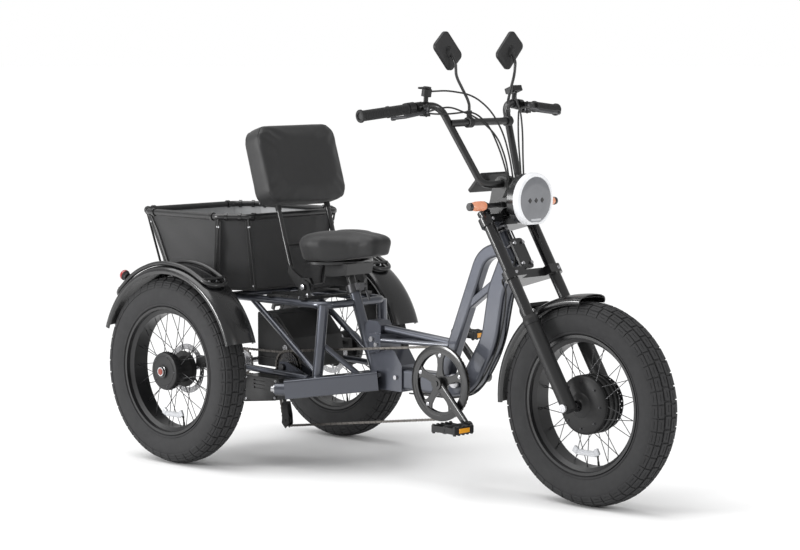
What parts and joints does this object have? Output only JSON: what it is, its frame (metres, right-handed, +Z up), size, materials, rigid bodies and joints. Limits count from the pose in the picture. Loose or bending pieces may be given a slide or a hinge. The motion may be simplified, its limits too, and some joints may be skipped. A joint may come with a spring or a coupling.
{
  "type": "adult electric tricycle",
  "caption": "Electric cargo tricycle for adults: chopper fork and high handlebar, padded seat with backrest, battery under the seat rails and a rear basket.",
  "frame": {"origin": "on the ground at the middle of the tricycle's overall length and width", "axes": "+X is forward, +Y is the rider's left and +Z is up"},
  "size_m": [2.0759, 0.8846, 1.3827],
  "materials": {
    "frame_paint": "glossy gunmetal grey",
    "black_paint": "satin black",
    "steel": "turned",
    "bolt_steel": "bright plated",
    "tyre": "moulded tread",
    "rim": "satin black rim with bright spokes",
    "hub": "black anodised",
    "crank": "black anodised",
    "chain": "oiled",
    "pedal": "moulded",
    "case": "satin moulded",
    "controller": "satin black",
    "basket_cloth": "woven, dark grey",
    "fender": "matte moulded",
    "red_lens": "clear red",
    "vinyl": "grained black vinyl",
    "rubber": "ribbed",
    "mirror": "black shell with a mirror face",
    "lamp_shell": "glossy black",
    "lamp_face": "frosted lens with a white ring",
    "amber_lens": "amber",
    "cable": "smooth jacket"
  },
  "bodies": {
    "root": {"front_frame": "frame_paint", "rear_frame": "frame_paint", "frame_bearings": "steel", "frame_bolts": "bolt_steel", "head_plate": "bolt_steel", "battery_case": "case", "controller_box": "controller", "basket_liner": "basket_cloth", "basket_rim": "black_paint", "rear_fenders": "fender", "fender_guards": "black_paint", "taillights": "red_lens", "seat_clamp": "crank", "seat_carrier": "black_paint", "chains": "chain", "derailleur": "crank", "frame_cables": "cable", "rear_calipers": "crank"},
    "steering": {"fork_upper": "black_paint", "handlebar": "black_paint", "bar_clamp": "black_paint", "grips": "rubber", "bar_controls": "case", "headlight_shell": "lamp_shell", "headlight_lens": "lamp_face", "turn_signals": "amber_lens", "display": "case", "bar_cables": "cable"},
    "fork_legs": {"fork_lower": "black_paint", "front_axle": "steel", "front_fender": "fender"},
    "front_wheel": {"tyre_front": "tyre", "rim_front": "rim", "hub_front": "hub"},
    "drive_axle": {"rear_axle": "steel", "hub_right": "hub", "rim_right": "rim", "tyre_right": "tyre"},
    "left_wheel": {"hub_left": "hub", "rim_left": "rim", "tyre_left": "tyre"},
    "jack": {"jack_shaft": "steel"},
    "crankset": {"cranks": "crank", "chainring": "crank"},
    "jockey": {"jockey_wheel": "pedal"},
    "right_pedal": {"pedal_right": "pedal"},
    "left_pedal": {"pedal_left": "pedal"},
    "throttle_grip": {"throttle": "rubber"},
    "right_brake": {"brake_lever_right": "crank"},
    "left_brake": {"brake_lever_left": "crank"},
    "shifter": {"shift_lever": "pedal"},
    "right_mirror": {"mirror_right": "mirror"},
    "left_mirror": {"mirror_left": "mirror"},
    "seat": {"seat_post": "black_paint", "saddle_pan": "black_paint", "saddle": "vinyl"},
    "clamp_lever": {"seat_lever": "steel"},
    "backrest": {"backrest_frame": "black_paint", "backrest_pad": "vinyl"},
    "lock": {"battery_lock": "bolt_steel"}
  },
  "joints": [
    {"name": "steering_turn", "type": "hinge", "parent": "root", "child": "steering", "pos_m": [0.69963, 0, 0.27649], "axis": [-0.5225, 0, 0.8526], "range_deg": [-40, 40]},
    {"name": "fork_travel", "type": "slide", "parent": "steering", "child": "fork_legs", "axis": [-0.5225, 0, 0.8526], "range_m": [0, 0.06], "stiffness_N_per_m": 9000},
    {"name": "front_wheel_spin", "type": "hinge", "parent": "fork_legs", "child": "front_wheel", "pos_m": [0.738, 0, 0.3], "axis": [0, 1, 0], "continuous": true},
    {"name": "drive_axle_spin", "type": "hinge", "parent": "root", "child": "drive_axle", "pos_m": [-0.68, 0, 0.3], "axis": [0, 1, 0], "continuous": true},
    {"name": "left_wheel_spin", "type": "hinge", "parent": "root", "child": "left_wheel", "pos_m": [-0.68, 0, 0.3], "axis": [0, 1, 0], "continuous": true},
    {"name": "jack_shaft_spin", "type": "hinge", "parent": "root", "child": "jack", "pos_m": [-0.456, 0, 0.305], "axis": [0, 1, 0], "continuous": true},
    {"name": "crank_spin", "type": "hinge", "parent": "root", "child": "crankset", "pos_m": [0.229, 0, 0.32], "axis": [0, 1, 0], "continuous": true},
    {"name": "jockey_spin", "type": "hinge", "parent": "root", "child": "jockey", "pos_m": [-0.454, -0.092, 0.131], "axis": [0, 1, 0], "continuous": true},
    {"name": "right_pedal_spin", "type": "hinge", "parent": "crankset", "child": "right_pedal", "pos_m": [0.36107, -0.118, 0.20519], "axis": [0, 1, 0], "continuous": true},
    {"name": "left_pedal_spin", "type": "hinge", "parent": "crankset", "child": "left_pedal", "pos_m": [0.09693, 0.118, 0.43481], "axis": [0, 1, 0], "continuous": true},
    {"name": "throttle_twist", "type": "hinge", "parent": "steering", "child": "throttle_grip", "pos_m": [0.24657, -0.29807, 1.15084], "axis": [0.1398, 0.9852, 0.0989], "range_deg": [0, 60], "stiffness_Nm_per_rad": 0.05},
    {"name": "right_brake_pull", "type": "hinge", "parent": "steering", "child": "right_brake", "pos_m": [0.29091, -0.22516, 1.15016], "axis": [0, 0, -1], "range_deg": [0, 12], "stiffness_Nm_per_rad": 0.6},
    {"name": "left_brake_pull", "type": "hinge", "parent": "steering", "child": "left_brake", "pos_m": [0.29091, 0.22516, 1.15016], "axis": [0, 0, 1], "range_deg": [0, 12], "stiffness_Nm_per_rad": 0.6},
    {"name": "shift_lever_push", "type": "hinge", "parent": "steering", "child": "shifter", "pos_m": [0.26737, -0.19659, 1.21502], "axis": [0.1807, 0, 0.9835], "range_deg": [0, 30], "stiffness_Nm_per_rad": 0.05},
    {"name": "right_mirror_turn", "type": "hinge", "parent": "steering", "child": "right_mirror", "pos_m": [0.335, -0.086, 1.127], "axis": [0, 0, 1], "range_deg": [-20, 20]},
    {"name": "left_mirror_turn", "type": "hinge", "parent": "steering", "child": "left_mirror", "pos_m": [0.335, 0.086, 1.127], "axis": [0, 0, 1], "range_deg": [-20, 20]},
    {"name": "seat_height", "type": "slide", "parent": "root", "child": "seat", "axis": [-0.3616, 0, 0.9323], "range_m": [0, 0.04]},
    {"name": "clamp_lever_swing", "type": "hinge", "parent": "root", "child": "clamp_lever", "pos_m": [-0.21407, 0, 0.57682], "axis": [0, 1, 0], "range_deg": [-25, 0]},
    {"name": "backrest_recline", "type": "hinge", "parent": "root", "child": "backrest", "pos_m": [-0.335, 0, 0.575], "axis": [0, 1, 0], "range_deg": [-6, 5]},
    {"name": "battery_lock_turn", "type": "hinge", "parent": "root", "child": "lock", "pos_m": [-0.502, -0.057, 0.356], "axis": [0, 1, 0], "range_deg": [0, 90]}
  ],
  "couplings": [
    {"joint": "jack_shaft_spin", "follows": "drive_axle_spin", "ratio": 1},
    {"joint": "crank_spin", "follows": "drive_axle_spin", "ratio": 0.41905},
    {"joint": "jockey_spin", "follows": "drive_axle_spin", "ratio": 3.1429}
  ]
}
